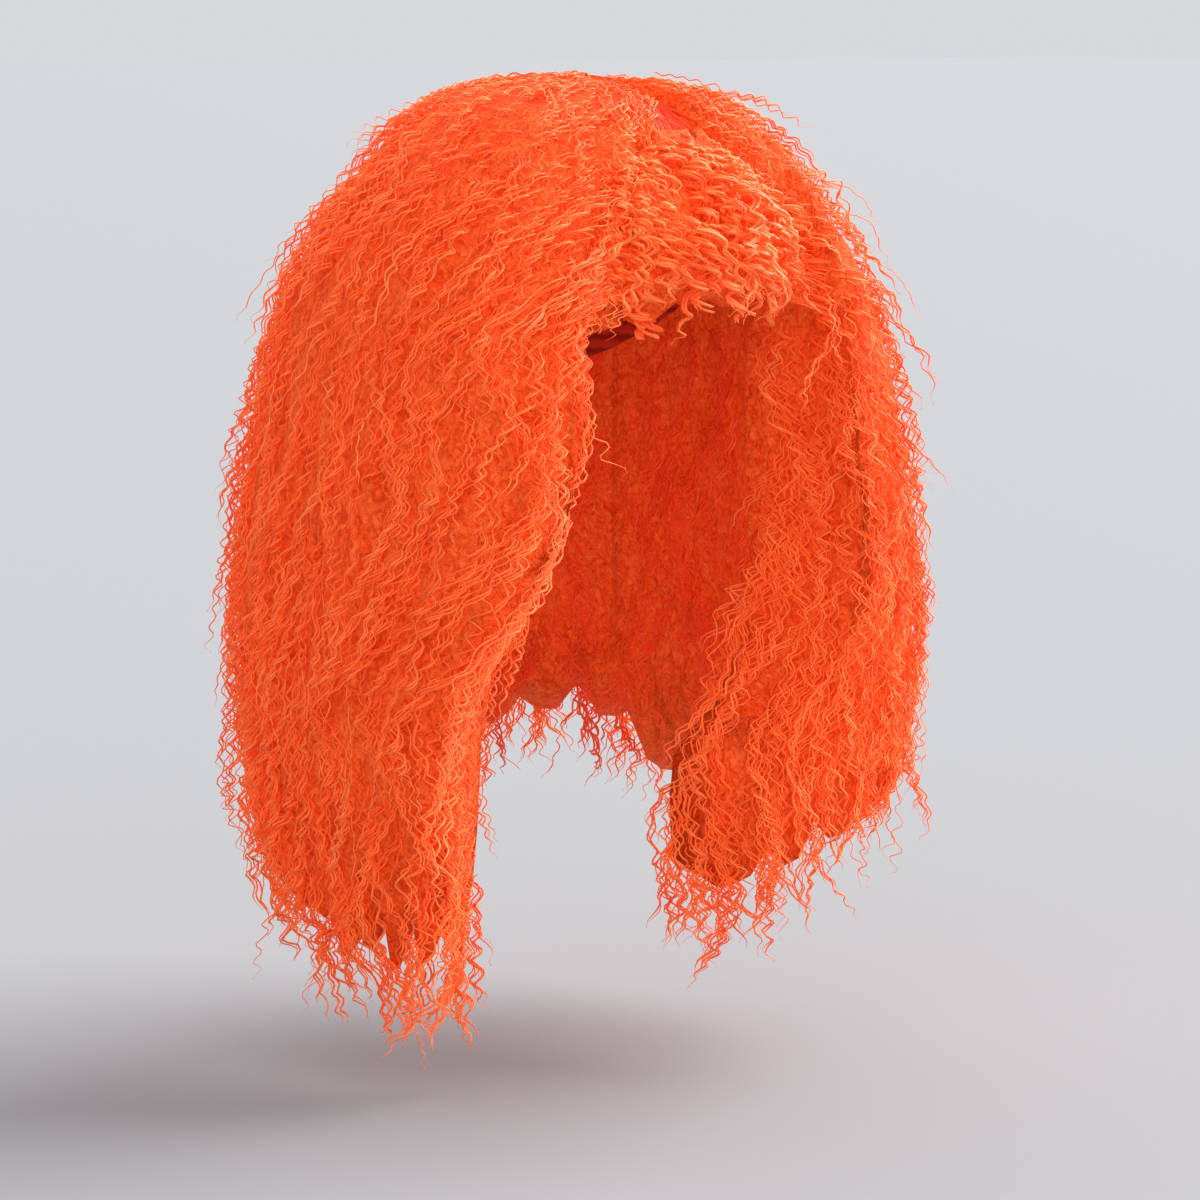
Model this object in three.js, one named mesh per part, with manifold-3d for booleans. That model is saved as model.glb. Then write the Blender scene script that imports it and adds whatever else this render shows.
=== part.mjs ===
// Curly shoulder-length wig, in the shape it has on a head.
// Millimetres, +Z up. The origin is the crown inside the cap, where the head bears.
// The face side looks along -Y, and +X is the wearer's left.

import * as THREE from 'three';
import { mergeVertices } from 'three/addons/utils/BufferGeometryUtils.js';
import Module from 'manifold-3d';

const wasm = await Module();
wasm.setup();

// Driving dimensions of the head that the wig fits
const headHalfWidth = 77;
const headHalfDepth = 97;
const crownToWidest = 115;

// Cap
const capWall = 2;
const capFrontDrop = 46;
const capSideDrop = 100;
const capNapeDrop = 150;

// Hair
const hairClearance = 1.5;
const crownRise = 18;
const bellRadius = 182;
const lockDrop = 482;
const lockRelief = 5;
const fullReliefAlong = 0.2;
const tipNotch = 46;
const tipScatter = 11;
const tipThickness = 5;
const tipOutward = 0.8;
const cornerRounding = 7;

// Fringe and parting
const fringeDrop = 104;
const fringeBulk = 19;
const fringeRootBulk = 13;
const fringeRootDepth = 66;
const fringeTipNotch = 9;
const fringeTipScatter = 4;
const fringeTipThickness = 4;
const fringeRelief = 3;
const partingBulk = 8;
const pieceGap = 1.2;

// How finely each piece is divided
const columnsPerLock = 3;
const sideLocks = 8;
const backLocks = 8;
const fringeLocks = 9;
const faceLocks = 2;
const capColumns = 28;
const capRows = 8;
const partingColumns = 36;
const partingRows = 7;

// Turns in degrees from the face, where the back begins and where the fringe runs
const backFrom = 128;
const fringeFrom = -54;
const fringeTo = 66;

// Outlines that only cut: below the fringe and past the head, as shares of each
const cutBelow = 1.4;
const cutBeyond = 3;

// Rim of the parting's dome, as a share of the drop from crown to widest level
const partingRimDrop = 0.6;

// Lock tips rise and fall on a wave that turns by this angle from lock to lock
const scatterStep = 2.4;

// How fast a fringe lock's ridge fades toward its tip
const fringeReliefFade = 4;

const hairInnerTop = capWall + hairClearance;
const hairTop = capWall + crownRise;
const seatOffset = capWall + hairClearance;

// Reach of the bell at each level. Drop is below the crown, as a share of lockDrop.
// Reach is a share of bellRadius.
const bellLevels = [
  { drop: -0.0415, reach: 0.02 },
  { drop: -0.0385, reach: 0.13 },
  { drop: -0.033, reach: 0.22 },
  { drop: -0.025, reach: 0.3 },
  { drop: -0.0125, reach: 0.395 },
  { drop: 0.002, reach: 0.475 },
  { drop: 0.0375, reach: 0.585 },
  { drop: 0.06, reach: 0.64 },
  { drop: 0.104, reach: 0.72 },
  { drop: 0.148, reach: 0.79 },
  { drop: 0.192, reach: 0.845 },
  { drop: 0.279, reach: 0.92 },
  { drop: 0.417, reach: 0.98 },
  { drop: 0.542, reach: 1.0 },
  { drop: 0.717, reach: 0.975 },
  { drop: 0.8, reach: 0.955 },
  { drop: 1.0, reach: 0.88 },
];

// Plan form of the bell. Turn is in degrees from the face, reach a share of the level's reach.
const bellPlan = [
  { turn: 0, reach: 0.74 },
  { turn: 20, reach: 0.75 },
  { turn: 36, reach: 0.8 },
  { turn: 42, reach: 0.86 },
  { turn: 50, reach: 0.945 },
  { turn: 60, reach: 0.985 },
  { turn: 90, reach: 0.985 },
  { turn: 130, reach: 1.0 },
  { turn: 180, reach: 0.93 },
];

// How far the inside of the hanging hair stands out from the cap's widest line
const hangLevels = [
  { drop: 0.24, reach: 1.0 },
  { drop: 0.5, reach: 1.0 },
  { drop: 0.62, reach: 1.12 },
  { drop: 0.8, reach: 1.18 },
  { drop: 1.0, reach: 1.24 },
];

// Front edge of each side. The corner lies on the face or neck, the brow is the foremost
// curve of the side. A corner's reach is a share of the inside's reach at its turn.
const rightEdge = [
  { drop: -0.05, cornerTurn: -14, cornerReach: 1, browTurn: -14 },
  { drop: 0.04, cornerTurn: 4, cornerReach: 1, browTurn: 4 },
  { drop: 0.1, cornerTurn: 18, cornerReach: 1, browTurn: 19 },
  { drop: 0.15, cornerTurn: 22, cornerReach: 1, browTurn: 27 },
  { drop: 0.195, cornerTurn: 26, cornerReach: 1, browTurn: 33 },
  { drop: 0.218, cornerTurn: 50, cornerReach: 1, browTurn: 38 },
  { drop: 0.3, cornerTurn: 52, cornerReach: 1.15, browTurn: 39 },
  { drop: 0.38, cornerTurn: 52, cornerReach: 1.15, browTurn: 40 },
  { drop: 0.45, cornerTurn: 54, cornerReach: 1.15, browTurn: 45 },
  { drop: 0.53, cornerTurn: 62, cornerReach: 1.16, browTurn: 53 },
  { drop: 0.6, cornerTurn: 71, cornerReach: 1.18, browTurn: 62 },
  { drop: 0.8, cornerTurn: 72, cornerReach: 1.14, browTurn: 64 },
  { drop: 1.0, cornerTurn: 73, cornerReach: 1.12, browTurn: 66 },
];
const leftEdge = [
  { drop: -0.05, cornerTurn: 14, cornerReach: 1, browTurn: 14 },
  { drop: 0.04, cornerTurn: 28, cornerReach: 1, browTurn: 28 },
  { drop: 0.1, cornerTurn: 31, cornerReach: 1, browTurn: 33 },
  { drop: 0.15, cornerTurn: 35, cornerReach: 1, browTurn: 40 },
  { drop: 0.195, cornerTurn: 38, cornerReach: 1, browTurn: 42 },
  { drop: 0.218, cornerTurn: 54, cornerReach: 1, browTurn: 44 },
  { drop: 0.3, cornerTurn: 53, cornerReach: 1.15, browTurn: 42 },
  { drop: 0.42, cornerTurn: 53, cornerReach: 1.17, browTurn: 42 },
  { drop: 0.52, cornerTurn: 47, cornerReach: 0.97, browTurn: 40 },
  { drop: 0.62, cornerTurn: 34, cornerReach: 0.7, browTurn: 37 },
  { drop: 0.7, cornerTurn: 18, cornerReach: 0.51, browTurn: 34 },
  { drop: 1.0, cornerTurn: 18, cornerReach: 0.5, browTurn: 33 },
];

// Where the tips end. Turn is in degrees from the face, drop a share of lockDrop.
const rightHem = [
  { turn: 58, drop: 0.92 },
  { turn: 68, drop: 0.95 },
  { turn: 78, drop: 1.0 },
  { turn: 92, drop: 0.965 },
  { turn: 105, drop: 0.93 },
  { turn: 118, drop: 0.89 },
  { turn: 130, drop: 0.85 },
  { turn: 150, drop: 0.82 },
  { turn: 180, drop: 0.8 },
];
const leftHem = [
  { turn: 18, drop: 1.0 },
  { turn: 26, drop: 0.925 },
  { turn: 36, drop: 0.85 },
  { turn: 60, drop: 0.82 },
  { turn: 90, drop: 0.83 },
  { turn: 120, drop: 0.825 },
  { turn: 150, drop: 0.81 },
  { turn: 180, drop: 0.8 },
];

// Rows down the length of a lock, as shares of it
const lockRows = [
  0, 0.013, 0.032, 0.058, 0.092, 0.135, 0.185, 0.225, 0.25, 0.31, 0.38, 0.45, 0.52, 0.6,
  0.68, 0.76, 0.84, 0.92, 1,
];

// Rows down the fringe, as shares of its length
const fringeRows = [0, 0.12, 0.25, 0.4, 0.56, 0.72, 0.88, 1];

// Thickness of a side or back lock along its length, as a share of the full bulk
const lockTaper = [
  { along: 0, share: 1 },
  { along: 0.78, share: 1 },
  { along: 0.9, share: 0.75 },
  { along: 1, share: 0 },
];

// Outside of the fringe. Drop is a share of fringeDrop, bulk a share of fringeBulk.
const fringeLevels = [
  { drop: 0.15, bulk: 0.7 },
  { drop: 0.28, bulk: 0.82 },
  { drop: 0.45, bulk: 0.95 },
  { drop: 0.62, bulk: 1.0 },
  { drop: 0.8, bulk: 1.0 },
  { drop: 0.92, bulk: 0.8 },
  { drop: 1.0, bulk: 0.3 },
];

// Where the fringe ends. Turn is in degrees from the face, drop a share of fringeDrop.
const fringeHem = [
  { turn: -50, drop: 1.19 },
  { turn: -30, drop: 1.15 },
  { turn: -15, drop: 1.06 },
  { turn: 4, drop: 0.98 },
  { turn: 30, drop: 1.03 },
  { turn: 60, drop: 1.06 },
];

// Plan outline between the two sides, which the parting and the fringe fill.
// Across and forward are shares of headHalfWidth and headHalfDepth.
const frontOutline = [
  { across: -0.03, forward: -0.02 },
  { across: -0.12, forward: 0.68 },
  { across: -0.76, forward: 0.94 },
  { across: -1.1, forward: 1.16 },
  { across: -1.45, forward: 1.6 },
  { across: 1.75, forward: 1.6 },
  { across: 1.27, forward: 1.07 },
  { across: 1.08, forward: 0.74 },
  { across: 0.58, forward: 0.68 },
  { across: 0.38, forward: 0.45 },
  { across: 0.04, forward: -0.02 },
];

function mix(from, to, share) {
  return from + (to - from) * share;
}

// Reads one column of a table at a place between its rows
function readTable(table, key, column, place) {
  const last = table.length - 1;
  if (place <= table[0][key]) {
    return table[0][column];
  }
  for (let i = 1; i <= last; i += 1) {
    if (place <= table[i][key]) {
      const share = (place - table[i - 1][key]) / (table[i][key] - table[i - 1][key]);
      return mix(table[i - 1][column], table[i][column], share);
    }
  }
  return table[last][column];
}

// A point at a turn from the face, positive to the wearer's left
function atTurn(turn, reach, z) {
  const angle = THREE.MathUtils.degToRad(turn);
  return new THREE.Vector3(reach * Math.sin(angle), -reach * Math.cos(angle), z);
}

// Radius of the head's widest section, plus an offset, at a turn
function widestReach(turn, offset) {
  const angle = THREE.MathUtils.degToRad(turn);
  const across = Math.sin(angle) / (headHalfWidth + offset);
  const along = Math.cos(angle) / (headHalfDepth + offset);
  return 1 / Math.hypot(across, along);
}

// Radius of the head form, plus an offset, at a turn and height. It hangs straight lower down.
function headReach(turn, z, offset) {
  const rise = Math.max(0, z + crownToWidest) / (crownToWidest + offset);
  return widestReach(turn, offset) * Math.sqrt(Math.max(0, 1 - rise * rise));
}

function dropOf(z) {
  return -z / lockDrop;
}

function innerReach(turn, z) {
  return headReach(turn, z, seatOffset) * readTable(hangLevels, 'drop', 'reach', dropOf(z));
}

function bellReach(turn, z) {
  const level = readTable(bellLevels, 'drop', 'reach', dropOf(z));
  return bellRadius * level * readTable(bellPlan, 'turn', 'reach', Math.abs(turn));
}

function geometryFrom(points, triangles) {
  const geometry = new THREE.BufferGeometry();
  geometry.setAttribute('position', new THREE.Float32BufferAttribute(points, 3));
  geometry.setIndex(triangles);
  return geometry;
}

// Merges shared corners and drops the triangles that this closes up
function weld(geometry) {
  const merged = mergeVertices(geometry, 1e-3);
  const index = merged.getIndex().array;
  const kept = [];
  for (let i = 0; i < index.length; i += 3) {
    const [a, b, c] = [index[i], index[i + 1], index[i + 2]];
    if (a !== b && b !== c && c !== a) {
      kept.push(a, b, c);
    }
  }
  merged.setIndex(kept);
  return merged;
}

// One closed body between an outer and an inner grid of points, each of them rows of columns.
// A ring's last column meets its first, so it has no side walls.
function bodyBetween(outer, inner, isRing) {
  const rows = outer.length;
  const columns = outer[0].length;
  const points = [...outer.flat(), ...inner.flat()].flatMap((point) => point.toArray());
  const triangles = [];
  const out = (row, column) => row * columns + column;
  const inn = (row, column) => (rows + row) * columns + column;
  const quad = (a, b, c, d) => triangles.push(a, b, c, a, c, d);
  for (let row = 0; row < rows - 1; row += 1) {
    for (let column = 0; column < columns - 1; column += 1) {
      const [next, right] = [row + 1, column + 1];
      quad(out(row, column), out(next, column), out(next, right), out(row, right));
      quad(inn(row, column), inn(row, right), inn(next, right), inn(next, column));
    }
    if (!isRing) {
      const end = columns - 1;
      quad(out(row, 0), inn(row, 0), inn(row + 1, 0), out(row + 1, 0));
      quad(out(row, end), out(row + 1, end), inn(row + 1, end), inn(row, end));
    }
  }
  for (let column = 0; column < columns - 1; column += 1) {
    const end = rows - 1;
    quad(out(0, column), out(0, column + 1), inn(0, column + 1), inn(0, column));
    quad(out(end, column), inn(end, column), inn(end, column + 1), out(end, column + 1));
  }
  return weld(geometryFrom(points, triangles));
}

function toSolid(geometry) {
  const index = geometry.getIndex();
  return new wasm.Manifold(new wasm.Mesh({
    numProp: 3,
    vertProperties: new Float32Array(geometry.getAttribute('position').array),
    triVerts: new Uint32Array(index.array),
  }));
}

function fromSolid(solid) {
  const mesh = solid.getMesh();
  return geometryFrom(Array.from(mesh.vertProperties), Array.from(mesh.triVerts));
}

// Vertical prism over a plan outline, from well below the fringe to above the crown
function prismOver(outline) {
  const shape = new THREE.Shape(outline);
  const height = fringeDrop * cutBelow + hairTop * 2;
  const prism = new THREE.ExtrudeGeometry(shape, { depth: height, bevelEnabled: false });
  prism.translate(0, 0, -fringeDrop * cutBelow);
  prism.deleteAttribute('normal');
  prism.deleteAttribute('uv');
  return toSolid(weld(prism));
}

// The front outline as plan points, with every side moved in by an inset
function frontPoints(inset) {
  const points = frontOutline.map(({ across, forward }) => (
    new THREE.Vector2(across * headHalfWidth, -forward * headHalfDepth)
  ));
  return points.map((point, i) => {
    const before = point.clone().sub(points.at(i - 1)).normalize();
    const after = points[(i + 1) % points.length].clone().sub(point).normalize();
    const normal = new THREE.Vector2(-before.y - after.y, before.x + after.x);
    return point.clone().addScaledVector(normal, inset / (1 + before.dot(after)));
  });
}

// The part of the front outline in front of a plan line, or behind it
function frontHalf(inset, isForward) {
  const line = -fringeRootDepth;
  const far = headHalfDepth * cutBeyond;
  const [from, to] = isForward ? [-far, line - pieceGap / 2] : [line + pieceGap / 2, far];
  const wide = headHalfWidth * cutBeyond;
  const strip = [
    new THREE.Vector2(-wide, from),
    new THREE.Vector2(wide, from),
    new THREE.Vector2(wide, to),
    new THREE.Vector2(-wide, to),
  ];
  return prismOver(frontPoints(inset)).intersect(prismOver(strip));
}

// Ridge of one lock across its width, from 0 in the groove to 1 on the crest
function ridgeAt(lockPlace) {
  return Math.abs(Math.sin(Math.PI * lockPlace));
}

// Each lock ends a little higher or lower than its neighbour
function scatterAt(lockPlace, seed) {
  return Math.sin(Math.floor(lockPlace + 1e-3) * scatterStep + seed);
}

// Brings the outer and inner points together towards the tips, leaving a thin edge
function taperPair(outer, inner, along, thickness) {
  const share = readTable(lockTaper, 'along', 'share', along);
  const gap = outer.distanceTo(inner);
  const wanted = Math.max(share, Math.min(1, thickness / Math.max(gap, thickness)));
  const middle = new THREE.Vector3().lerpVectors(inner, outer, tipOutward);
  outer.lerpVectors(middle, outer.clone(), wanted);
  inner.lerpVectors(middle, inner.clone(), wanted);
}

// Height of a row. Rows stay level down to half the length, and then spread to each tip.
function rowHeight(top, tip, along) {
  const half = mix(top, -lockDrop, 0.5);
  return along < 0.5 ? mix(top, half, along * 2) : mix(half, tip, along * 2 - 1);
}

function tipHeight(hem, turn, lockPlace, seed) {
  const notch = tipNotch * (1 - ridgeAt(lockPlace));
  return notch + tipScatter * scatterAt(lockPlace, seed) - lockDrop * readTable(hem, 'turn', 'drop', turn);
}

// One side: a front face from the corner to the brow, then an outside round to the back
function sideBody(side, edge, hem) {
  const faceColumns = faceLocks * columnsPerLock;
  const columns = faceColumns + sideLocks * columnsPerLock;
  const lowest = edge.at(-1);
  const outer = [];
  const inner = [];
  lockRows.forEach((along, row) => {
    outer.push([]);
    inner.push([]);
    const grown = Math.min(1, along / fullReliefAlong);
    for (let column = 0; column <= columns; column += 1) {
      const onFace = Math.min(1, column / faceColumns);
      const onBend = Math.max(0, column - faceColumns) / (columns - faceColumns);
      const lockPlace = column / columnsPerLock;
      const faceTip = mix(lowest.cornerTurn, lowest.browTurn, onFace);
      const tip = tipHeight(hem, mix(faceTip, backFrom, onBend), lockPlace, side);
      const level = rowHeight(hairTop, tip, along);
      const innerZ = rowHeight(hairInnerTop, tip, along);
      const outerZ = row === 0 && column > 0 ? hairTop : mix(innerZ, level, onFace);
      const corner = readTable(edge, 'drop', 'cornerTurn', dropOf(level));
      const brow = readTable(edge, 'drop', 'browTurn', dropOf(level));
      const cornerShare = readTable(edge, 'drop', 'cornerReach', dropOf(level));
      const cornerReach = cornerShare * innerReach(corner, innerZ);
      const turn = mix(mix(corner, brow, onFace), backFrom, onBend);
      const rounding = cornerRounding * Math.max(0, 1 - Math.abs(lockPlace - faceLocks) * 2);
      const relief = column > 0 ? lockRelief * ridgeAt(lockPlace) : 0;
      const full = bellReach(turn, outerZ) - rounding * grown;
      const reach = mix(cornerReach, full, onFace) + relief * grown;
      const innerTurn = mix(corner, backFrom, column / columns);
      const innerFull = column === 0 ? cornerReach : innerReach(innerTurn, innerZ);
      const outerPoint = atTurn(side * turn, row === 0 ? 0 : reach, outerZ);
      const innerPoint = atTurn(side * innerTurn, row === 0 ? 0 : innerFull, innerZ);
      if (column > 0) {
        taperPair(outerPoint, innerPoint, along, tipThickness);
      } else {
        outerPoint.copy(innerPoint);
      }
      outer[row].push(outerPoint);
      inner[row].push(innerPoint);
    }
  });
  const body = side > 0 ? bodyBetween(outer, inner, false) : bodyBetween(inner, outer, false);
  return body.translate(side * pieceGap / 2, 0, 0);
}

function backBody() {
  const columns = backLocks * columnsPerLock;
  const outer = [];
  const inner = [];
  lockRows.forEach((along, row) => {
    outer.push([]);
    inner.push([]);
    const grown = Math.min(1, along / fullReliefAlong);
    for (let column = 0; column <= columns; column += 1) {
      const lockPlace = column / columnsPerLock;
      const turn = mix(backFrom, 360 - backFrom, column / columns);
      const fromFace = Math.min(turn, 360 - turn);
      const tip = tipHeight(turn < 180 ? leftHem : rightHem, fromFace, lockPlace, 0);
      const outerZ = rowHeight(hairTop, tip, along);
      const innerZ = rowHeight(hairInnerTop, tip, along);
      const reach = bellReach(fromFace, outerZ) + lockRelief * ridgeAt(lockPlace) * grown;
      const outerPoint = atTurn(turn, row === 0 ? 0 : reach, outerZ);
      const innerPoint = atTurn(turn, row === 0 ? 0 : innerReach(turn, innerZ), innerZ);
      taperPair(outerPoint, innerPoint, along, tipThickness);
      outer[row].push(outerPoint);
      inner[row].push(innerPoint);
    }
  });
  return bodyBetween(outer, inner, false).translate(0, pieceGap, 0);
}

// Short locks from the root line down over the forehead
function fringeBody() {
  const columns = fringeLocks * columnsPerLock;
  const rootShare = fringeRootDepth / (headHalfDepth + seatOffset);
  const rootZ = -crownToWidest + (crownToWidest + seatOffset) * Math.sqrt(1 - rootShare ** 2);
  const outer = [];
  const inner = [];
  fringeRows.forEach((along) => {
    outer.push([]);
    inner.push([]);
    for (let column = 0; column <= columns; column += 1) {
      const turn = mix(fringeFrom, fringeTo, column / columns);
      const lockPlace = (column / columns) * fringeLocks;
      const lift = fringeTipNotch * (1 - ridgeAt(lockPlace));
      const hem = fringeDrop * readTable(fringeHem, 'turn', 'drop', turn);
      const tip = lift + fringeTipScatter * scatterAt(lockPlace, 1) - hem;
      const start = rootZ + seatOffset;
      const innerZ = mix(start, tip, along);
      const outerZ = mix(start + fringeRootBulk, tip, along);
      const bulk = fringeBulk * readTable(fringeLevels, 'drop', 'bulk', -outerZ / fringeDrop);
      const relief = fringeRelief * ridgeAt(lockPlace) * Math.min(1, (1 - along) * fringeReliefFade);
      const offset = Math.max(bulk + relief, fringeTipThickness);
      outer.at(-1).push(atTurn(turn, headReach(turn, outerZ, seatOffset + offset), outerZ));
      inner.at(-1).push(atTurn(turn, headReach(turn, innerZ, seatOffset), innerZ));
    }
  });
  return bodyBetween(outer, inner, false);
}

// Dome between two offsets of the head form, down to a height
function domeSolid(innerOffset, outerOffset, columns, rows, rimDropAt) {
  const grid = (offset) => {
    const points = [];
    for (let row = 0; row <= rows; row += 1) {
      points.push([]);
      for (let column = 0; column <= columns; column += 1) {
        const turn = (360 * (column % columns)) / columns;
        const rim = rimDropAt(turn);
        const full = Math.acos((crownToWidest - rim) / (crownToWidest + offset));
        const tilt = (full * row) / rows;
        const reach = widestReach(turn, offset) * Math.sin(tilt);
        const z = -crownToWidest + (crownToWidest + offset) * Math.cos(tilt);
        points.at(-1).push(atTurn(turn, row === 0 ? 0 : reach, z));
      }
    }
    return points;
  };
  return bodyBetween(grid(outerOffset), grid(innerOffset), true);
}

// The cap's rim is highest over the forehead and lowest at the nape
function capRimDrop(turn) {
  const angle = THREE.MathUtils.degToRad(turn);
  const middle = (capFrontDrop + capNapeDrop) / 2;
  const swing = (capNapeDrop - capFrontDrop) / 2;
  const sides = (capSideDrop - middle) * Math.sin(angle) ** 2;
  return middle - swing * Math.cos(angle) + sides;
}

function partingBody() {
  const rim = () => crownToWidest * partingRimDrop;
  const dome = domeSolid(seatOffset, seatOffset + partingBulk, partingColumns, partingRows, rim);
  return toSolid(dome).intersect(frontHalf(pieceGap, false));
}

const hairFinish = { color: 0xf9602a, roughness: 0.6, metalness: 0 };
const finishes = {
  cap: { color: 0xd6402a, roughness: 0.8, metalness: 0 },
  parting: { color: 0xe8482e, roughness: 0.5, metalness: 0 },
  fringe: hairFinish,
  side_right: hairFinish,
  side_left: hairFinish,
  back: hairFinish,
};

function cutForFront(body) {
  return toSolid(body).subtract(prismOver(frontPoints(0)));
}

const fringeSolid = toSolid(fringeBody()).intersect(frontHalf(pieceGap, true));
const bodies = {
  cap: domeSolid(0, capWall, capColumns, capRows, capRimDrop),
  parting: fromSolid(partingBody()),
  fringe: fromSolid(fringeSolid),
  side_right: fromSolid(cutForFront(sideBody(-1, rightEdge, rightHem))),
  side_left: fromSolid(cutForFront(sideBody(1, leftEdge, leftHem))),
  back: backBody(),
};

const wig = new THREE.Group();
for (const [name, geometry] of Object.entries(bodies)) {
  const mesh = new THREE.Mesh(geometry, new THREE.MeshStandardMaterial(finishes[name]));
  mesh.name = name;
  wig.add(mesh);
}

export default wig;
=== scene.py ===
import math

import bpy
import numpy as np
from mathutils import Matrix, Vector
from mathutils.bvhtree import BVHTree


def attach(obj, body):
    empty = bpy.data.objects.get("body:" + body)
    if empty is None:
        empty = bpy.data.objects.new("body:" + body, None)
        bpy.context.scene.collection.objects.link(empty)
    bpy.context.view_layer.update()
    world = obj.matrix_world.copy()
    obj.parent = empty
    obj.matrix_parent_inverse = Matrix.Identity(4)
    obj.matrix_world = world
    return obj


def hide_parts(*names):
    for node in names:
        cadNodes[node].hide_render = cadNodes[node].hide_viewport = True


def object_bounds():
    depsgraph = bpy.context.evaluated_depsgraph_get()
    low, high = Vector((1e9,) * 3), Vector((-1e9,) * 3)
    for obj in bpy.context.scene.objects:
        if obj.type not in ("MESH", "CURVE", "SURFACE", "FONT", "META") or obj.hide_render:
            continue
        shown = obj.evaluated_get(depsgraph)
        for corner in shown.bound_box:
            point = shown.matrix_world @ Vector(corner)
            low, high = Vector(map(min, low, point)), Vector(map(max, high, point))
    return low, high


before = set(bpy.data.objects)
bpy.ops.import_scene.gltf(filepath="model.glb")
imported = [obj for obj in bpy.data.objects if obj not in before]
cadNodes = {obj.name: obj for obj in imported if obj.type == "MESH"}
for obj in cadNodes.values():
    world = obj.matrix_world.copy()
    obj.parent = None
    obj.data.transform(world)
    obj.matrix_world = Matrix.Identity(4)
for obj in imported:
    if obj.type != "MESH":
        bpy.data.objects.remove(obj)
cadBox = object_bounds()
print("frame loaded")

mm = 0.001
fullTurn = 2 * math.pi
tiny = 1e-7  # the least that a length is divided by
boxLow, boxHigh = (np.array(list(corner)) for corner in cadBox)
rng = np.random.default_rng(41)


# colours and nodes

def linearColour(hexText):
    parts = [int(hexText[i:i + 2], 16) / 255 for i in (0, 2, 4)]
    flat = [c / 12.92 if c <= 0.04045 else ((c + 0.055) / 1.055) ** 2.4 for c in parts]
    return (*flat, 1.0)


# settings are sockets, by name or number, or properties, or the stops of a colour ramp
def addNode(tree, kind, settings=None, links=None):
    node = tree.nodes.new(kind)
    for name, value in (settings or {}).items():
        if name == "stops":
            ramp = node.color_ramp
            while len(ramp.elements) < len(value):
                ramp.elements.new(0.5)
            for element, (place, hexText) in zip(ramp.elements, value):
                element.position = place
                element.color = linearColour(hexText)
        elif isinstance(name, int) or (name in node.inputs and not hasattr(node, name)):
            node.inputs[name].default_value = value
        else:
            setattr(node, name, value)
    for name, source in (links or {}).items():
        tree.links.new(source, node.inputs[name])
    return node


def newMaterial(name, settings):
    material = bpy.data.materials.new(name)
    material.use_nodes = True
    tree = material.node_tree
    shader = tree.nodes["Principled BSDF"]
    for socket, value in settings.items():
        shader.inputs[socket].default_value = value
    return material, tree, shader


# dyed curly fibre: satin, with a pale bloom at its edges; the dye differs a little from strand to
# strand, and a painted glow, a weak emission of its own colour, stands in for light that passes through
# the hair and lifts its shade
def curlyFibre(name, rampColours, roughness):
    material, tree, shader = newMaterial(name, {
        "Roughness": roughness, "Specular IOR Level": 0.4,
        "Sheen Weight": 0.4, "Sheen Roughness": 0.5, "Sheen Tint": linearColour("FFB080"),
        # painted glow: the fibre emits a little of its own colour, which lifts its shade
        "Emission Strength": 0.22,
    })
    # per strand: its tone, paler tips, and painted shade near the root where the lock above covers it
    tint = addNode(tree, "ShaderNodeAttribute", {"attribute_name": "tint"})
    place = addNode(tree, "ShaderNodeTexCoord")
    # patches about 25 mm across where the dye took a little more or less
    patches = addNode(tree, "ShaderNodeTexNoise", {"Scale": 1 / (25 * mm), "Detail": 3.0},
                      {"Vector": place.outputs["Object"]})
    patch = addNode(tree, "ShaderNodeMath", {"operation": "MULTIPLY_ADD", 1: 0.8, 2: -0.4},
                    {0: patches.outputs["Fac"]})
    # single hairs in a strand, just under a millimetre so that they show
    hairs = addNode(tree, "ShaderNodeTexNoise", {"Scale": 1 / (0.909 * mm), "Detail": 2.0},
                    {"Vector": place.outputs["Object"]})
    hair = addNode(tree, "ShaderNodeMath", {"operation": "MULTIPLY_ADD", 1: 0.5, 2: -0.25},
                   {0: hairs.outputs["Fac"]})
    uneven = addNode(tree, "ShaderNodeMath", {"operation": "ADD"},
                     {0: patch.outputs[0], 1: hair.outputs[0]})
    tinted = addNode(tree, "ShaderNodeMath", {"operation": "ADD"},
                     {0: uneven.outputs[0], 1: tint.outputs["Fac"]})
    colour = addNode(tree, "ShaderNodeValToRGB", {"stops": list(zip((0.05, 0.5, 0.95), rampColours))},
                     {"Fac": tinted.outputs[0]})
    tree.links.new(colour.outputs["Color"], shader.inputs["Base Color"])
    # the same colour is emitted as painted glow
    tree.links.new(colour.outputs["Color"], shader.inputs["Emission Color"])
    return material
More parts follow.
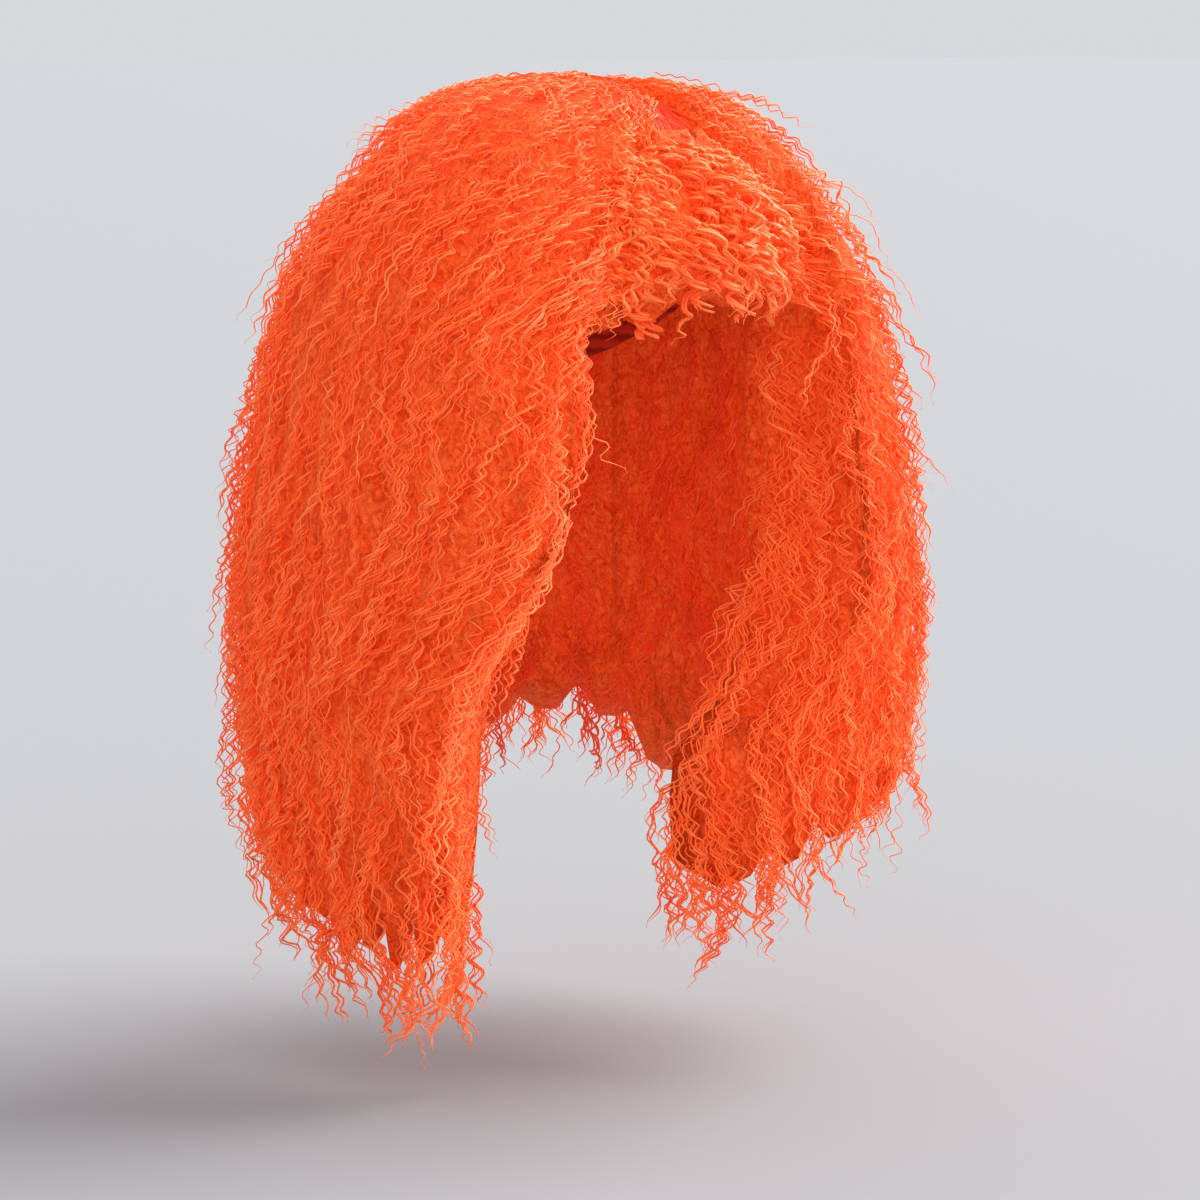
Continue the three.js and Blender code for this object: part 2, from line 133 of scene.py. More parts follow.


# packed fibre under the curls: dull and matted, kinks of 2 to 3 mm with painted shade between them, and
# a painted glow, a weak emission of its own colour, that lifts its shade
def packedFibre(name, rampColours):
    material, tree, shader = newMaterial(name, {
        "Roughness": 0.8, "Specular IOR Level": 0.15, "Emission Strength": 0.2,
    })
    place = addNode(tree, "ShaderNodeTexCoord")
    # turns of about 9 mm push the kinks aside by up to 14 mm, so that they wind
    warp = addNode(tree, "ShaderNodeTexNoise", {"Scale": 1 / (9.09 * mm), "Detail": 2.0},
                   {"Vector": place.outputs["Object"]})
    pushed = addNode(tree, "ShaderNodeVectorMath", {"operation": "MULTIPLY_ADD", 1: (14 * mm,) * 3},
                     {0: warp.outputs["Color"], 2: place.outputs["Object"]})
    # hair hangs, so its pattern is drawn out downwards
    drawnOut = addNode(tree, "ShaderNodeMapping", {"Scale": (1.0, 1.0, 0.55)},
                       {"Vector": pushed.outputs[0]})
    kinks = addNode(tree, "ShaderNodeTexNoise",
                    {"Scale": 1 / (2.381 * mm), "Detail": 3.0, "Roughness": 0.6},
                    {"Vector": drawnOut.outputs[0]})
    # locks about 14 mm thick that stand out from the rest
    lumps = addNode(tree, "ShaderNodeTexNoise", {"Scale": 1 / (14.286 * mm), "Detail": 2.0},
                    {"Vector": drawnOut.outputs[0]})
    kinked = addNode(tree, "ShaderNodeMath", {"operation": "MULTIPLY_ADD", 1: 1.4, 2: -0.45},
                     {0: kinks.outputs["Fac"]})
    height = addNode(tree, "ShaderNodeMath", {"operation": "MULTIPLY_ADD", 1: 0.5},
                     {0: lumps.outputs["Fac"], 2: kinked.outputs[0]})
    # colour follows height: painted shade in the low parts between kinks, paler on the raised kinks and
    # locks
    colour = addNode(tree, "ShaderNodeValToRGB", {"stops": list(zip((0.25, 0.5, 0.75), rampColours))},
                     {"Fac": height.outputs[0]})
    bump = addNode(tree, "ShaderNodeBump", {"Strength": 0.9, "Distance": 3 * mm},
                   {"Height": height.outputs[0]})
    tree.links.new(colour.outputs["Color"], shader.inputs["Base Color"])
    # the same colour is emitted as painted glow
    tree.links.new(colour.outputs["Color"], shader.inputs["Emission Color"])
    tree.links.new(bump.outputs["Normal"], shader.inputs["Normal"])
    return material


# dyed knitted cap: dull, with rows of sewn hair 7.9 mm apart and a fine knit of about 1 mm
def knittedCap(name, rampColours):
    material, tree, shader = newMaterial(name, {"Roughness": 0.85})
    place = addNode(tree, "ShaderNodeTexCoord")
    # at scale 1 this pattern turns by 20 radians a metre
    rows = addNode(tree, "ShaderNodeTexWave",
                   {"bands_direction": "Z", "Scale": fullTurn / 20 / (7.854 * mm),
                    "Distortion": 1.2, "Detail": 2.0, "Detail Scale": 6.0},
                   {"Vector": place.outputs["Object"]})
    knit = addNode(tree, "ShaderNodeTexNoise", {"Scale": 1 / (1.111 * mm), "Detail": 2.0},
                   {"Vector": place.outputs["Object"]})
    height = addNode(tree, "ShaderNodeMath", {"operation": "MULTIPLY_ADD", 1: 0.3},
                     {0: knit.outputs["Fac"], 2: rows.outputs["Fac"]})
    colour = addNode(tree, "ShaderNodeValToRGB", {"stops": list(zip((0.15, 0.9), rampColours))},
                     {"Fac": height.outputs[0]})
    bump = addNode(tree, "ShaderNodeBump", {"Strength": 0.6, "Distance": 1 * mm},
                   {"Height": height.outputs[0]})
    tree.links.new(colour.outputs["Color"], shader.inputs["Base Color"])
    tree.links.new(bump.outputs["Normal"], shader.inputs["Normal"])
    return material


# the colours of each finish, from its darkest to its palest, and how dull it is: the inside is a darker
# copy of the curls, painted shade for the hair's inner side, and the brushed parting darker and duller
# than the curls
curlMaterial = curlyFibre("dyed curly fibre", ("F04410", "FC6420", "FF8646"), 0.48)
# painted shade: the inside is the curly fibre in darker colours
insideShadedMaterial = curlyFibre("curly fibre, inside, painted shade", ("CC2808", "EE3E10", "FA5E24"), 0.48)
brushedMaterial = curlyFibre("brushed fibre at the parting", ("D43410", "EC461C", "F86634"), 0.55)
packedFibreWithPaintedShade = packedFibre("packed fibre under the curls, painted shade and glow", ("DC3A0C", "F6541C", "FC6C34"))
knitMaterial = knittedCap("dyed knitted cap", ("9E1C0C", "D8401F"))
for node in cadNodes.values():
    node.data.materials.clear()
    node.data.materials.append(knitMaterial if node.name == "cap" else packedFibreWithPaintedShade)
print("materials made")


# guide sheets: rays find the outside and the inside of each hair body, and curls grow on them

trees = {}
for name, node in cadNodes.items():
    trees[name] = BVHTree.FromPolygons([v.co for v in node.data.vertices],
                                       [p.vertices for p in node.data.polygons])

# a sheet's rows run from the crown over a dome, then straight down: lengths in metres
dome = {"centreZ": -0.115, "rise": 0.135, "arc": 0.235, "hang": 0.4}
stepDown = 3 * mm
lowestRow = dome["arc"] + dome["hang"]
seamTurn = 128.0  # degrees from the face to the seam between a side and the back
# how far sheets stay from that seam, outside and inside, and run past brow and corner: degrees
margin = {"seam": 0.7, "insideSeam": 1, "brow": 1, "faceBrow": 2, "corner": 3}
rayFrom, rayReach = 0.5, 0.46  # metres: rays start clear of the hair and stop near the middle
frontLook = 0.6  # how far a front face looks ahead, where it looks 1 towards the middle

# height, turn of the corner on the face, its reach, and turn of the brow: mm and degrees
rightEdge = np.array([
    (24, -14, 0, -14), (-19, 4, 70, 4), (-48, 18, 80, 19), (-72, 22, 85, 27), (-94, 26, 86, 33),
    (-105, 50, 87, 38), (-145, 52, 100, 39), (-183, 52, 100, 40), (-217, 54, 99, 45),
    (-255, 62, 100, 53), (-289, 71, 107, 62), (-386, 72, 110, 64), (-482, 73, 114, 66),
], float)
leftEdge = np.array([
    (24, 14, 0, 14), (-19, 28, 70, 28), (-48, 31, 80, 33), (-72, 35, 85, 40), (-94, 38, 86, 42),
    (-105, 54, 86, 44), (-145, 53, 99, 42), (-202, 53, 101, 42), (-251, 47, 87, 40),
    (-299, 34, 73, 37), (-337, 18, 57, 34), (-482, 18, 61, 33),
], float)
cornerTurn, cornerReach, browTurn = 1, 2, 3


def readEdge(edge, column, z):
    return np.interp(-z / mm, -edge[:, 0], edge[:, column])


# blurs along an axis, repeating the end rows
def smoothed(values, reach, axis):
    weights = np.exp(-0.5 * (np.arange(-2 * reach, 2 * reach + 1) / reach) ** 2)
    weights /= weights.sum()
    count = values.shape[axis]
    total = np.zeros_like(values)
    for weight, shift in zip(weights, range(-2 * reach, 2 * reach + 1)):
        total += weight * np.take(values, np.clip(np.arange(count) + shift, 0, count - 1), axis)
    return total


def unitLength(vectors):
    return vectors / np.maximum(np.linalg.norm(vectors, axis=-1), tiny)[..., None]


# completes a grid of points, columns round and rows down: fills it, blurs it, adds directions
def sheetFrom(points, start, facing):
    columns, steps = points.shape[:2]
    found = np.isfinite(points[:, :, 0])
    full = np.flatnonzero(found.any(1))
    begins, ends = np.zeros(columns), np.zeros(columns)
    tail = 8  # rows that give the direction in which a column runs on past its tip
    for i in full:
        good = np.flatnonzero(found[i])
        begins[i], ends[i] = good[0], good[-1]
        for k in range(3):
            points[i, :, k] = np.interp(np.arange(steps), good, points[i, good, k])
        last = good[-1]
        run = points[i, last] - points[i, max(last - tail, good[0])]
        further = stepDown * np.arange(1, steps - last)[:, None]
        points[i, last + 1:] = points[i, last] + unitLength(run) * further
    for i in np.flatnonzero(~found.any(1)):
        near = full[np.abs(full - i).argmin()]
        points[i], begins[i], ends[i] = points[near], begins[near], ends[near]
    points = smoothed(smoothed(points, 2, 0), 3, 1)  # over 2 columns, then 3 rows
    across, along = np.gradient(points, axis=0), np.gradient(points, axis=1)
    width = np.linalg.norm(across, axis=2)
    across, along = unitLength(across), unitLength(along)
    out = unitLength(np.cross(across, along))
    out *= np.sign((out * facing(points)).sum())
    return {
        "points": points, "out": out, "across": across, "start": start, "width": width,
        "begin": start + begins * stepDown, "end": start + ends * stepDown, "columns": columns,
    }


def outward(points):
    return points - np.array([0, 0, dome["centreZ"]])


# height of a row and its tilt from upright, by its length down from the crown
def levelOf(down):
    tilt = math.pi / 2 * min(1, down / dome["arc"])
    if down < dome["arc"]:
        return dome["centreZ"] + dome["rise"] * math.cos(tilt), tilt
    return dome["centreZ"] - (down - dome["arc"]), tilt


# one face of a hair body, found by rays from outside or from within
def castSheet(nodeName, turnRange, start, columns, end=lowestRow, fromInside=False):
    steps = int((end - start) / stepDown) + 1
    points = np.full((columns, steps, 3), np.nan)
    tree = trees[nodeName]
    for j in range(steps):
        z, tilt = levelOf(start + j * stepDown)
        middle = Vector((0, 0, min(z, dome["centreZ"])))
        first, last = turnRange(z)
        for i in range(columns):
            turn = math.radians(first + (last - first) * i / (columns - 1))
            way = Vector((math.sin(turn) * math.sin(tilt), -math.cos(turn) * math.sin(tilt),
                          math.cos(tilt)))
            if fromInside:
                hit = tree.ray_cast(middle, way)[0]
            else:
                hit = tree.ray_cast(middle + way * rayFrom, -way, rayReach)[0]
            if hit is not None:
                points[i, j] = hit
    return sheetFrom(points, start, lambda p: outward(p) * (-1 if fromInside else 1))


# the front face of a side, from its corner by the face out to its brow
def faceSheet(nodeName, side, edge, columns):
    steps = int(dome["hang"] / stepDown) + 1
    points = np.full((columns, steps, 3), np.nan)
    tree = trees[nodeName]
    facing = Vector((-side, -frontLook, 0)).normalized()
    clear = 30 * mm  # the rays start this far before the line from corner to brow
    browReach = 150 * mm  # until a ray has found the brow
    for j in range(steps):
        z = levelOf(dome["arc"] + j * stepDown)[0]
        corner, reach, brow = (readEdge(edge, k, z) for k in (cornerTurn, cornerReach, browTurn))
        turn = math.radians(side * (brow + margin["faceBrow"]))
        way = Vector((math.sin(turn), -math.cos(turn), 0))
        hit = tree.ray_cast(Vector((0, 0, z)) + way * rayFrom, -way, rayReach)[0]
        browReach = browReach if hit is None else math.hypot(hit.x, hit.y)
        for i in range(columns):
            share = (i + 0.5) / columns
            turn = math.radians(side * (corner + (brow - corner) * share))
            radius = reach * mm + (browReach - reach * mm) * share
            spot = Vector((radius * math.sin(turn), -radius * math.cos(turn), z))
            hit = tree.ray_cast(spot + facing * clear, -facing, 2 * clear)[0]
            if hit is not None:
                points[i, j] = hit
    return sheetFrom(points, dome["arc"], lambda p: np.array([-side, -frontLook, 0]))


# reads a sheet's grid between its points; place runs 0 to 1 round it
def readSheet(sheet, place, down, key):
    grid = sheet[key]
    short = 1.001  # stays just short of the last point
    i = np.clip(place * (sheet["columns"] - 1), 0, sheet["columns"] - short)
    j = np.clip((down - sheet["start"]) / stepDown, 0, grid.shape[1] - short)
    i0, j0 = i.astype(int), j.astype(int)
    fi, fj = (i - i0)[..., None], (j - j0)[..., None]
    return ((grid[i0, j0] * (1 - fi) + grid[i0 + 1, j0] * fi) * (1 - fj)
            + (grid[i0, j0 + 1] * (1 - fi) + grid[i0 + 1, j0 + 1] * fi) * fj)


def readColumn(sheet, place, key):
    return float(np.interp(place * (sheet["columns"] - 1), np.arange(sheet["columns"]), sheet[key]))


# columns round each sheet are close enough that a lock reads a smooth surface
outside, inside = {"start": 3 * mm, "columns": 90}, {"start": dome["arc"], "columns": 50}
sheets = {
    "outerRight": castSheet("side_right", lambda z: (
        -readEdge(rightEdge, browTurn, z) - margin["brow"], margin["seam"] - seamTurn), **outside),
    "outerLeft": castSheet("side_left", lambda z: (
        readEdge(leftEdge, browTurn, z) + margin["brow"], seamTurn - margin["seam"]), **outside),
    "outerBack": castSheet("back", lambda z: (
        seamTurn + margin["seam"], 360 - margin["seam"] - seamTurn), **outside),
    "faceRight": faceSheet("side_right", -1, rightEdge, 24),
    "faceLeft": faceSheet("side_left", 1, leftEdge, 30),
    "insideRight": castSheet("side_right", lambda z: (
        -readEdge(rightEdge, cornerTurn, z) - margin["corner"], margin["insideSeam"] - seamTurn),
        fromInside=True, **inside),
    "insideLeft": castSheet("side_left", lambda z: (
        readEdge(leftEdge, cornerTurn, z) + margin["corner"], seamTurn - margin["insideSeam"]),
        fromInside=True, **inside),
    "insideBack": castSheet("back", lambda z: (
        seamTurn + margin["insideSeam"], 360 - margin["insideSeam"] - seamTurn),
        fromInside=True, start=dome["arc"], columns=60),
    "fringe": castSheet("fringe", lambda z: (-52, 58), start=60 * mm, end=240 * mm, columns=70),
    "parting": castSheet("parting", lambda z: (-12, 42), start=4 * mm, end=120 * mm, columns=50),
}
print("guide sheets cast")


# strands: each is a closed tube of three sides, and a lock is a bundle of them

tubeSides = 3
trianglesGrown = []


# two side directions at each point of each strand, carried along without twisting
def transported(points):
    along = unitLength(np.gradient(points, axis=1))
    side = np.empty_like(points)
    oblique = np.array([0.31, 0.52, 0.79])  # a direction that no strand starts along
    side[:, 0] = unitLength(np.cross(along[:, 0], oblique))
    for j in range(1, points.shape[1]):
        kept = side[:, j - 1] - along[:, j] * (side[:, j - 1] * along[:, j]).sum(1)[:, None]
        side[:, j] = unitLength(kept)
    return side, np.cross(along, side)


# collects strands and joins them into one mesh
class TubePile:

    def __init__(self):
        self.points, self.faces, self.tintsAndRootShade = [], [], []
        self.count, self.triangles = 0, 0

    def add(self, points, radius, tint):
        strands, steps = points.shape[:2]
        side, up = transported(points)
        angles = np.arange(tubeSides) * fullTurn / tubeSides
        ring = (np.cos(angles)[None, None, :, None] * side[:, :, None]
                + np.sin(angles)[None, None, :, None] * up[:, :, None])
        cloud = points[:, :, None] + ring * radius[:, :, None, None]
        self.points.append(cloud.reshape(-1, 3))
        self.tintsAndRootShade.append(np.repeat(tint.reshape(-1), tubeSides))
        base = self.count + (np.arange(strands) * steps * tubeSides)[:, None, None]
        row = (np.arange(steps - 1) * tubeSides)[None, :, None]
        now = np.arange(tubeSides)[None, None, :]
        a, b = base + row + now, base + row + (now + 1) % tubeSides
        quads = np.stack([a, b, b + tubeSides, a + tubeSides], -1).reshape(-1, 4)
        starts = base[:, 0, 0]
        ends = starts + (steps - 1) * tubeSides
        lids = [np.stack([starts + k for k in reversed(range(tubeSides))], -1),
                np.stack([ends + k for k in range(tubeSides)], -1)]
        self.faces += [quads, np.concatenate(lids)]
        self.count += strands * steps * tubeSides
        self.triangles += strands * ((steps - 1) * tubeSides * 2 + 2 * (tubeSides - 2))

    def build(self, name, material):
        points = np.concatenate(self.points)
        corners = np.concatenate([f.reshape(-1) for f in self.faces]).astype(np.int32)
        sizes = np.concatenate([np.full(len(f), f.shape[1]) for f in self.faces]).astype(np.int32)
        starts = np.concatenate([[0], np.cumsum(sizes)[:-1]]).astype(np.int32)
        mesh = bpy.data.meshes.new(name)
        mesh.vertices.add(len(points))
        mesh.vertices.foreach_set("co", points.astype(np.float32).reshape(-1))
        mesh.loops.add(len(corners))
        mesh.loops.foreach_set("vertex_index", corners)
        mesh.polygons.add(len(sizes))
        mesh.polygons.foreach_set("loop_start", starts)
        mesh.polygons.foreach_set("use_smooth", np.ones(len(sizes), bool))
        mesh.update(calc_edges=True)
        layer = mesh.attributes.new("tint", "FLOAT", "POINT")
        layer.data.foreach_set("value", np.concatenate(self.tintsAndRootShade).astype(np.float32))
        mesh.materials.append(material)
        piece = bpy.data.objects.new(name, mesh)
        bpy.context.scene.collection.objects.link(piece)
        trianglesGrown.append(self.triangles)
        print(name, "triangles", self.triangles)
        return piece


# what all strands have in common: lengths in metres, ranges that chance picks from, and shares
habit = {
    "anyPhase": (0, 6.28), "pitchRange": (0.75, 1.35), "sizeRange": (0.65, 1.3),
    "thickRange": (0.75, 1.2), "driftRange": (0.4, 1.6), "wanderLength": (70 * mm, 120 * mm),
    "driftLength": 45 * mm, "swellLength": 50 * mm, "swellShare": 0.25, "calmLength": 50 * mm,
    "riseLength": 30 * mm, "hemLength": 30 * mm, "narrowAtHem": 0.65, "narrow": 0.35,
    "overtone": 0.18, "overtoneLag": 4, "tipLength": 0.12, "tipThin": 0.25, "rootLength": 0.04,
    "rootThin": 0.4, "looseReach": 7 * mm, "loosePull": 0.85, "fewestSteps": 5,
    # the root values darken each strand near its root as painted shade, where the lock above covers it
    "lockTint": 0.13, "strandTint": 0.1, "tipTint": 0.16, "rootPaintedShade": 0.2, "rootPaintedShadeLength": 20 * mm,
}


# one lock: a bundle of crimped strands that lie nearly in step, from a place on a sheet down
def growLock(pile, sheet, place, down, length, look):
    strands = look["strands"]
    pitch = look["pitch"] * rng.uniform(*habit["pitchRange"])
    step = pitch / look["perWave"]
    tipAt = readColumn(sheet, place, "end")
    down = max(down, readColumn(sheet, place, "begin"))
    stop = min(down + length, tipAt + rng.uniform(*look["pastTip"]))
    if stop - down < habit["fewestSteps"] * step:
        return
    steps = int((stop - down) / step)
    run = np.arange(steps) * step
    share = run / run[-1]

    # where each strand runs in the lock
    lag = rng.uniform(-look["lag"], look["lag"], strands)[:, None]
    spread = (np.arange(strands) - (strands - 1) / 2) / strands
    spread = spread + rng.uniform(-0.5, 0.5, strands) / strands
    short = 1 - rng.uniform(0, look["ragged"], strands)[:, None]
    run = run[None] * short
    downs = down + run
    wave = run * fullTurn / rng.uniform(*habit["wanderLength"]) + rng.uniform(*habit["anyPhase"])
    wander = look["wander"] * np.sin(wave) + look["lean"] * rng.uniform(-1, 1) * run
    atHem = stop > tipAt - habit["hemLength"]
    narrowing = 1 - habit["narrowAtHem" if atHem else "narrow"] * share[None] ** 2
    lateral = spread[:, None] * look["breadth"] * narrowing + wander

    # the crimp, which drifts out of step and swells here and there
    size = rng.uniform(*habit["sizeRange"]) * pitch / look["pitch"]
    drift = rng.uniform(*habit["driftRange"]) * np.sin(
        run * fullTurn / habit["driftLength"] + rng.uniform(*habit["anyPhase"]))
    phase = run * fullTurn / pitch + rng.uniform(*habit["anyPhase"]) + lag + drift
    calmed = np.clip((downs - look["calmTo"]) / habit["calmLength"] + 1, 0, 1)
    grown = look["calm"] + (1 - look["calm"]) * calmed
    swell = grown * (1 - habit["swellShare"] + habit["swellShare"] * np.sin(
        run * fullTurn / habit["swellLength"] + rng.uniform(*habit["anyPhase"])))
    overtone = habit["overtone"] * np.sin(2 * phase + lag * habit["overtoneLag"])
    sway = size * look["sway"] * swell * (np.sin(phase) + overtone)
    bob = size * look["bob"] * swell * np.cos(phase + look["quarter"])

    # height over the sheet: buried at the root, loose at the tip, and never far past the body
    crown = look["crown"] * (1 - (2 * spread[:, None]) ** 2)
    rise = look["sunk"] + (look["lift"] - look["sunk"]) * np.clip(run / habit["riseLength"], 0, 1)
    rise = rise + look["endLift"] * share[None] ** 3
    rise = rise + rng.uniform(-look["loose"], look["loose"], strands)[:, None]
    places = np.full((strands, steps), place)
    points, out, across = (readSheet(sheet, places, downs, key) for key in ("points", "out", "across"))
    points = points + across * (lateral + sway)[..., None] + out * (rise + crown + bob)[..., None]
    nearby = np.clip(points, boxLow - habit["looseReach"], boxHigh + habit["looseReach"])
    points = points - habit["loosePull"] * (points - nearby)

    thick = look["thick"] * rng.uniform(*habit["thickRange"], strands)[:, None]
    taper = (np.clip((1 - share) / habit["tipLength"], habit["tipThin"], 1)
             * np.clip(share / habit["rootLength"] + habit["rootThin"], 0, 1))
    tint = 0.5 + rng.uniform(-habit["lockTint"], habit["lockTint"])
    tint = tint + rng.uniform(-habit["strandTint"], habit["strandTint"], strands)[:, None]
    # paler towards the tip, and darker near the root: painted shade where the band above covers it
    tint = (tint + habit["tipTint"] * share[None] ** 2
            - habit["rootPaintedShade"] * np.clip(1 - run / habit["rootPaintedShadeLength"], 0, 1))
    pile.add(points, thick * 0.5 * taper[None], np.broadcast_to(tint, (strands, steps)))


# how locks are laid out: shares of their length or spacing, and lengths in metres
laying = {
    "hemTop": 0.7, "hemLevel": 0.6, "measuredAt": 0.4, "aside": (-0.3, 0.3),
    "topRange": (-30 * mm, 30 * mm), "lengthRange": (0.8, 1.2), "fewestLocks": 2,
}


# locks in bands down a sheet, side by side at a spacing, each band over the one below;
# a band whose top is None lies along the hem
def coverSheet(pile, sheet, look, spacing, bands, fromPlace, toPlace):
    rows = sheet["width"].shape[1]
    edges = np.linspace(0, 1, sheet["columns"])
    for top, length in bands:
        hemLevel = float(np.median(sheet["end"])) - laying["hemLevel"] * length
        measured = (hemLevel if top is None else top) + laying["measuredAt"] * length
        row = int(np.clip((measured - sheet["start"]) / stepDown, 0, rows - 1))
        reach = np.concatenate([[0], np.cumsum(sheet["width"][:, row])[:-1]])
        low, high = np.interp([fromPlace, toPlace], edges, reach)
        count = max(laying["fewestLocks"], int(round((high - low) / spacing)))
        for k in range(count):
            spot = low + (k + 0.5 + rng.uniform(*laying["aside"])) * (high - low) / count
            place = float(np.interp(spot, reach, edges))
            hemTop = readColumn(sheet, place, "end") - laying["hemTop"] * length
            begin = (hemTop if top is None else top) + rng.uniform(*laying["topRange"])
            growLock(pile, sheet, place, begin, length * rng.uniform(*laying["lengthRange"]), look)


# a dictionary's pieces: the body that each stands for, its sheet, and the part of the sheet that
# it covers. Its layers: a look for the strands, a spacing, bands as top and length in metres,
# and the part of the piece that the layer covers, as shares of the way round.
def growPieces(look):
    for name, (node, sheetName, low, high) in look["pieces"].items():
        pile = TubePile()
        for strandLook, spacing, bands, start, stop in look["layers"]:
            span = (low + (high - low) * share for share in (start, stop))
            coverSheet(pile, sheets[sheetName], strandLook, spacing, bands, *span)
        piece = pile.build(name, look["material"])
        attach(piece, "root")
        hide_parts(node)


# strands of the outer curls, and of those that hang over the hem
outerLook = {
    "strands": 3, "pitch": 10.5 * mm, "perWave": 5, "pastTip": (-6 * mm, 10 * mm), "ragged": 0.3,
    "wander": 8 * mm, "lean": 0.35, "breadth": 6.5 * mm, "calm": 0.5, "calmTo": 100 * mm,
    "sway": 2.5 * mm, "bob": 2.2 * mm, "quarter": 0.4, "crown": 0.5 * mm,
    "sunk": -6 * mm, "lift": -1.5 * mm, "endLift": 3.5 * mm, "loose": 2 * mm,
    "thick": 1.05 * mm, "lag": 1.3,
}
hemLook = dict(outerLook, sunk=-2 * mm, lift=0.0, pastTip=(0.0, 14 * mm), endLift=1 * mm)
outerBands = [(0.003, 0.08), (0.05, 0.09), (0.11, 0.1), (0.175, 0.1), (0.24, 0.1), (0.305, 0.1),
              (0.37, 0.1), (0.435, 0.1), (None, 0.1)]

# the wearer's right, which the photograph shows best, is the most closely covered
growPieces({
    "pieces": {"right_side_curls_front": ("side_right", "outerRight", 0.0, 0.5),
               "right_side_curls_rear": ("side_right", "outerRight", 0.5, 1.0)},
    "material": curlMaterial, "slot": "curly_fibre",
    "layers": [(outerLook, 8.3 * mm, outerBands, 0.0, 1.0),
               (hemLook, 7 * mm, [(None, 0.09)], 0.0, 1.0)],
})
growPieces({
    "pieces": {"left_side_curls_front": ("side_left", "outerLeft", 0.0, 0.5),
               "left_side_curls_rear": ("side_left", "outerLeft", 0.5, 1.0)},
    "material": curlMaterial, "slot": "curly_fibre",
    "layers": [(outerLook, 8.5 * mm, outerBands, 0.0, 1.0),
               (hemLook, 10 * mm, [(None, 0.09)], 0.0, 1.0)],
})
growPieces({
    "pieces": {"back_curls_front": ("back", "outerBack", 0.0, 0.5),
               "back_curls_rear": ("back", "outerBack", 0.5, 1.0)},
    "material": curlMaterial, "slot": "curly_fibre",
    "layers": [(outerLook, 10.8 * mm, outerBands, 0.0, 1.0),
               (hemLook, 10 * mm, [(None, 0.09)], 0.0, 1.0)],
})

# the front faces of the sides, with more locks at the corner by the face and at the brow
faceLook = dict(outerLook, lift=3 * mm, sunk=0.0, loose=2.5 * mm)
growPieces({
    "pieces": {"right_front_curls": ("side_right", "faceRight", 0.0, 1.0),
               "left_front_curls": ("side_left", "faceLeft", 0.0, 1.0)},
    "material": curlMaterial, "slot": "curly_fibre",
    "layers": [
        (faceLook, 5.5 * mm,
         [(dome["arc"] - 0.01, 0.12), (0.3, 0.13), (0.37, 0.13), (0.44, 0.13), (None, 0.11)], 0.0, 1.0),
        (faceLook, 3 * mm, [(0.27, 0.1), (0.35, 0.1), (0.42, 0.1), (None, 0.1)], 0.0, 0.12),
        (dict(hemLook, pastTip=(4 * mm, 16 * mm)), 3 * mm, [(None, 0.1)], 0.0, 0.25),
        (faceLook, 4 * mm, [(0.23, 0.1), (0.31, 0.1), (0.39, 0.1)], 0.9, 1.0),
    ],
})

# single thin curls that stand out from the rest
strayLook = dict(
    outerLook, strands=1, pitch=9 * mm, perWave=5, thick=0.7 * mm, sway=3 * mm, bob=2.6 * mm,
    quarter=1.5, sunk=-1 * mm, lift=1 * mm, endLift=9 * mm, loose=2.5 * mm,
    pastTip=(-2 * mm, 16 * mm), wander=8 * mm, lean=0.4, ragged=0.0,
)
growPieces({
    "pieces": {"right_stray_curls": ("side_right", "outerRight", 0.0, 1.0),
               "left_stray_curls": ("side_left", "outerLeft", 0.0, 1.0),
               "back_stray_curls": ("back", "outerBack", 0.0, 1.0)},
    "material": curlMaterial, "slot": "curly_fibre",
    "layers": [(strayLook, 18 * mm,
                [(0.06, 0.08), (0.14, 0.08), (0.22, 0.09), (0.3, 0.09), (0.37, 0.1), (0.43, 0.11),
                 (0.48, 0.12)], 0.0, 1.0)],
})

# the inner side of the hair, seen past the face and from below
insideLook = dict(outerLook, breadth=8 * mm, thick=1.2 * mm, sunk=0.0, lift=1.5 * mm, endLift=1 * mm)
growPieces({
    "pieces": {"right_inside_curls": ("side_right", "insideRight", 0.0, 1.0),
               "left_inside_curls": ("side_left", "insideLeft", 0.0, 1.0),
               "back_inside_curls": ("back", "insideBack", 0.0, 1.0)},
    "material": insideShadedMaterial, "slot": "curly_fibre",
    "layers": [(insideLook, 16 * mm, [(dome["arc"], 0.13), (0.32, 0.13), (None, 0.12)], 0.0, 1.0)],
})

# the fringe: thick short twists that dangle at their tips
fringeLook = dict(
    outerLook, strands=3, pitch=10 * mm, perWave=5.5, breadth=5 * mm, calm=0.9, calmTo=80 * mm,
    sway=3.6 * mm, bob=3.2 * mm, quarter=0.2, pastTip=(1 * mm, 14 * mm), thick=1.9 * mm,
    wander=7 * mm, lean=0.8, lift=0.5 * mm, lag=0.9, loose=1 * mm,
)
fringeHemLook = dict(fringeLook, sunk=0.0, lag=1.2)
growPieces({
    "pieces": {"fringe_curls": ("fringe", "fringe", 0.0, 1.0)},
    "material": curlMaterial, "slot": "curly_fibre",
    "layers": [
        (fringeLook, 6.5 * mm, [(0.07, 0.08), (0.105, 0.09), (0.15, 0.11)], 0.0, 1.0),
        (fringeHemLook, 9 * mm, [(None, 0.045)], 0.0, 1.0),
        (fringeHemLook, 4.5 * mm, [(0.14, 0.06), (None, 0.05)], 0.0, 0.3),
    ],
})

